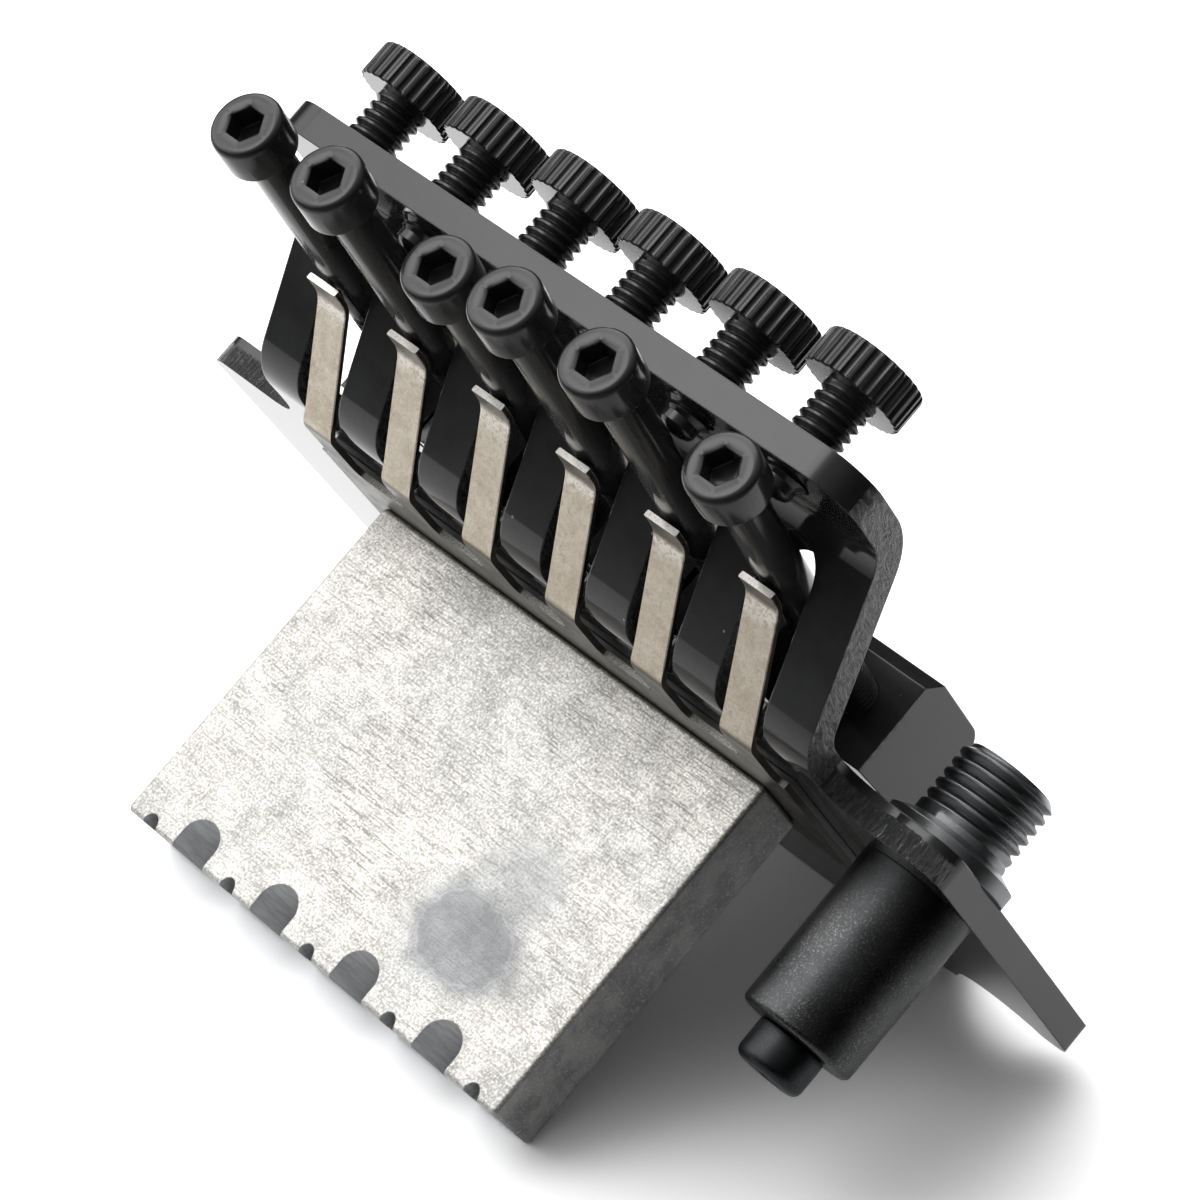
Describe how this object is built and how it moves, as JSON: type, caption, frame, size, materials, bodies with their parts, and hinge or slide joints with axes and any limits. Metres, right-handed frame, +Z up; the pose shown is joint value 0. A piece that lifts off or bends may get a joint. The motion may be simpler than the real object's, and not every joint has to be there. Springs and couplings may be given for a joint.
{
  "type": "guitar tremolo bridge",
  "caption": "Double-locking guitar tremolo bridge: bent black plate with rocking saddles, string lock screws, knurled fine tuners, leaf springs, a bare sustain block and a threaded arm socket.",
  "frame": {"origin": "middle of the pivot line between the two stud notches, at half the thickness of the base plate", "axes": "+X across the strings towards the arm side, +Y along the strings towards the neck, +Z up from the guitar top"},
  "size_m": [0.0951, 0.0881, 0.0642],
  "materials": {
    "plate_black": "gloss black paint over pressed steel",
    "block_zinc": "bare cast zinc, brushed and slightly stained",
    "spring_nickel": "satin nickel-plated spring steel",
    "saddle_black": "black plated steel, satin",
    "clamp_steel": "dark hardened steel",
    "screw_black": "black plated screw steel",
    "tuner_black": "black plated brass, knurled",
    "socket_oxide": "matt black oxide"
  },
  "bodies": {
    "bridge": {"base_plate": "plate_black", "sustain_block": "block_zinc", "block_screws": "screw_black", "spring_comb": "spring_nickel", "comb_backing": "clamp_steel", "saddle_screws": "screw_black", "arm_socket": "socket_oxide", "socket_nut": "socket_oxide"},
    "arm_tension_screw": {"arm_tension_screw": "socket_oxide"},
    "saddle_1": {"saddle_1": "saddle_black"},
    "string_clamp_1": {"string_clamp_1": "clamp_steel"},
    "lock_screw_1": {"lock_screw_1": "screw_black"},
    "spring_finger_1": {"spring_finger_1": "spring_nickel"},
    "fine_tuner_1": {"fine_tuner_1": "tuner_black"},
    "saddle_2": {"saddle_2": "saddle_black"},
    "string_clamp_2": {"string_clamp_2": "clamp_steel"},
    "lock_screw_2": {"lock_screw_2": "screw_black"},
    "spring_finger_2": {"spring_finger_2": "spring_nickel"},
    "fine_tuner_2": {"fine_tuner_2": "tuner_black"},
    "saddle_3": {"saddle_3": "saddle_black"},
    "string_clamp_3": {"string_clamp_3": "clamp_steel"},
    "lock_screw_3": {"lock_screw_3": "screw_black"},
    "spring_finger_3": {"spring_finger_3": "spring_nickel"},
    "fine_tuner_3": {"fine_tuner_3": "tuner_black"},
    "saddle_4": {"saddle_4": "saddle_black"},
    "string_clamp_4": {"string_clamp_4": "clamp_steel"},
    "lock_screw_4": {"lock_screw_4": "screw_black"},
    "spring_finger_4": {"spring_finger_4": "spring_nickel"},
    "fine_tuner_4": {"fine_tuner_4": "tuner_black"},
    "saddle_5": {"saddle_5": "saddle_black"},
    "string_clamp_5": {"string_clamp_5": "clamp_steel"},
    "lock_screw_5": {"lock_screw_5": "screw_black"},
    "spring_finger_5": {"spring_finger_5": "spring_nickel"},
    "fine_tuner_5": {"fine_tuner_5": "tuner_black"},
    "saddle_6": {"saddle_6": "saddle_black"},
    "string_clamp_6": {"string_clamp_6": "clamp_steel"},
    "lock_screw_6": {"lock_screw_6": "screw_black"},
    "spring_finger_6": {"spring_finger_6": "spring_nickel"},
    "fine_tuner_6": {"fine_tuner_6": "tuner_black"}
  },
  "joints": [
    {"name": "arm_tension_screw_travel", "type": "slide", "parent": "bridge", "child": "arm_tension_screw", "axis": [0, 0, -1], "range_m": [0, 0.0015]},
    {"name": "saddle_1_tilt", "type": "hinge", "parent": "bridge", "child": "saddle_1", "pos_m": [-0.0265, -0.02018, 0.00375], "axis": [1, 0, 0], "range_deg": [-0.5, 2.5]},
    {"name": "fine_tuner_1_travel", "type": "slide", "parent": "bridge", "child": "fine_tuner_1", "axis": [0, 0, 1], "range_m": [-0.00211, 0.00043]},
    {"name": "spring_finger_1_flex", "type": "hinge", "parent": "bridge", "child": "spring_finger_1", "pos_m": [-0.0265, -0.0481, -0.00199], "axis": [1, 0, 0], "range_deg": [-1.61, 7.97]},
    {"name": "lock_screw_1_travel", "type": "slide", "parent": "saddle_1", "child": "lock_screw_1", "axis": [0, -0.9986, 0.0523], "range_m": [0, 0.0014]},
    {"name": "string_clamp_1_travel", "type": "slide", "parent": "saddle_1", "child": "string_clamp_1", "axis": [0, -1, 0], "range_m": [0, 0.0014]},
    {"name": "saddle_2_tilt", "type": "hinge", "parent": "bridge", "child": "saddle_2", "pos_m": [-0.0159, -0.02082, 0.00375], "axis": [1, 0, 0], "range_deg": [-0.5, 2.5]},
    {"name": "fine_tuner_2_travel", "type": "slide", "parent": "bridge", "child": "fine_tuner_2", "axis": [0, 0, 1], "range_m": [-0.00209, 0.00042]},
    {"name": "spring_finger_2_flex", "type": "hinge", "parent": "bridge", "child": "spring_finger_2", "pos_m": [-0.0159, -0.0481, -0.00199], "axis": [1, 0, 0], "range_deg": [-1.58, 7.85]},
    {"name": "lock_screw_2_travel", "type": "slide", "parent": "saddle_2", "child": "lock_screw_2", "axis": [0, -0.9986, 0.0523], "range_m": [0, 0.0014]},
    {"name": "string_clamp_2_travel", "type": "slide", "parent": "saddle_2", "child": "string_clamp_2", "axis": [0, -1, 0], "range_m": [0, 0.0014]},
    {"name": "saddle_3_tilt", "type": "hinge", "parent": "bridge", "child": "saddle_3", "pos_m": [-0.0053, -0.01583, 0.00375], "axis": [1, 0, 0], "range_deg": [-0.5, 2.5]},
    {"name": "fine_tuner_3_travel", "type": "slide", "parent": "bridge", "child": "fine_tuner_3", "axis": [0, 0, 1], "range_m": [-0.0023, 0.00047]},
    {"name": "spring_finger_3_flex", "type": "hinge", "parent": "bridge", "child": "spring_finger_3", "pos_m": [-0.0053, -0.0481, -0.00199], "axis": [1, 0, 0], "range_deg": [-1.78, 8.82]},
    {"name": "lock_screw_3_travel", "type": "slide", "parent": "saddle_3", "child": "lock_screw_3", "axis": [0, -0.9986, 0.0523], "range_m": [0, 0.0014]},
    {"name": "string_clamp_3_travel", "type": "slide", "parent": "saddle_3", "child": "string_clamp_3", "axis": [0, -1, 0], "range_m": [0, 0.0014]},
    {"name": "saddle_4_tilt", "type": "hinge", "parent": "bridge", "child": "saddle_4", "pos_m": [0.0053, -0.0205, 0.00375], "axis": [1, 0, 0], "range_deg": [-0.5, 2.5]},
    {"name": "fine_tuner_4_travel", "type": "slide", "parent": "bridge", "child": "fine_tuner_4", "axis": [0, 0, 1], "range_m": [-0.0021, 0.00043]},
    {"name": "spring_finger_4_flex", "type": "hinge", "parent": "bridge", "child": "spring_finger_4", "pos_m": [0.0053, -0.0481, -0.00199], "axis": [1, 0, 0], "range_deg": [-1.6, 7.91]},
    {"name": "lock_screw_4_travel", "type": "slide", "parent": "saddle_4", "child": "lock_screw_4", "axis": [0, -0.9986, 0.0523], "range_m": [0, 0.0014]},
    {"name": "string_clamp_4_travel", "type": "slide", "parent": "saddle_4", "child": "string_clamp_4", "axis": [0, -1, 0], "range_m": [0, 0.0014]},
    {"name": "saddle_5_tilt", "type": "hinge", "parent": "bridge", "child": "saddle_5", "pos_m": [0.0159, -0.02069, 0.00375], "axis": [1, 0, 0], "range_deg": [-0.5, 2.5]},
    {"name": "fine_tuner_5_travel", "type": "slide", "parent": "bridge", "child": "fine_tuner_5", "axis": [0, 0, 1], "range_m": [-0.00209, 0.00043]},
    {"name": "spring_finger_5_flex", "type": "hinge", "parent": "bridge", "child": "spring_finger_5", "pos_m": [0.0159, -0.0481, -0.00199], "axis": [1, 0, 0], "range_deg": [-1.59, 7.87]},
    {"name": "lock_screw_5_travel", "type": "slide", "parent": "saddle_5", "child": "lock_screw_5", "axis": [0, -0.9986, 0.0523], "range_m": [0, 0.0014]},
    {"name": "string_clamp_5_travel", "type": "slide", "parent": "saddle_5", "child": "string_clamp_5", "axis": [0, -1, 0], "range_m": [0, 0.0014]},
    {"name": "saddle_6_tilt", "type": "hinge", "parent": "bridge", "child": "saddle_6", "pos_m": [0.0265, -0.0141, 0.00375], "axis": [1, 0, 0], "range_deg": [-0.5, 2.5]},
    {"name": "fine_tuner_6_travel", "type": "slide", "parent": "bridge", "child": "fine_tuner_6", "axis": [0, 0, 1], "range_m": [-0.00238, 0.00048]},
    {"name": "spring_finger_6_flex", "type": "hinge", "parent": "bridge", "child": "spring_finger_6", "pos_m": [0.0265, -0.0481, -0.00199], "axis": [1, 0, 0], "range_deg": [-1.85, 9.16]},
    {"name": "lock_screw_6_travel", "type": "slide", "parent": "saddle_6", "child": "lock_screw_6", "axis": [0, -0.9986, 0.0523], "range_m": [0, 0.0014]},
    {"name": "string_clamp_6_travel", "type": "slide", "parent": "saddle_6", "child": "string_clamp_6", "axis": [0, -1, 0], "range_m": [0, 0.0014]}
  ],
  "couplings": [
    {"joint": "fine_tuner_1_travel", "follows": "saddle_1_tilt", "m_per_rad": -0.04822},
    {"joint": "spring_finger_1_flex", "follows": "saddle_1_tilt", "ratio": 3.1809},
    {"joint": "string_clamp_1_travel", "follows": "lock_screw_1_travel", "ratio": 1},
    {"joint": "fine_tuner_2_travel", "follows": "saddle_2_tilt", "m_per_rad": -0.04758},
    {"joint": "spring_finger_2_flex", "follows": "saddle_2_tilt", "ratio": 3.1309},
    {"joint": "string_clamp_2_travel", "follows": "lock_screw_2_travel", "ratio": 1},
    {"joint": "fine_tuner_3_travel", "follows": "saddle_3_tilt", "m_per_rad": -0.052572},
    {"joint": "spring_finger_3_flex", "follows": "saddle_3_tilt", "ratio": 3.5209},
    {"joint": "string_clamp_3_travel", "follows": "lock_screw_3_travel", "ratio": 1},
    {"joint": "fine_tuner_4_travel", "follows": "saddle_4_tilt", "m_per_rad": -0.0479},
    {"joint": "spring_finger_4_flex", "follows": "saddle_4_tilt", "ratio": 3.1559},
    {"joint": "string_clamp_4_travel", "follows": "lock_screw_4_travel", "ratio": 1},
    {"joint": "fine_tuner_5_travel", "follows": "saddle_5_tilt", "m_per_rad": -0.047708},
    {"joint": "spring_finger_5_flex", "follows": "saddle_5_tilt", "ratio": 3.1409},
    {"joint": "string_clamp_5_travel", "follows": "lock_screw_5_travel", "ratio": 1},
    {"joint": "fine_tuner_6_travel", "follows": "saddle_6_tilt", "m_per_rad": -0.0543},
    {"joint": "spring_finger_6_flex", "follows": "saddle_6_tilt", "ratio": 3.6559},
    {"joint": "string_clamp_6_travel", "follows": "lock_screw_6_travel", "ratio": 1}
  ]
}
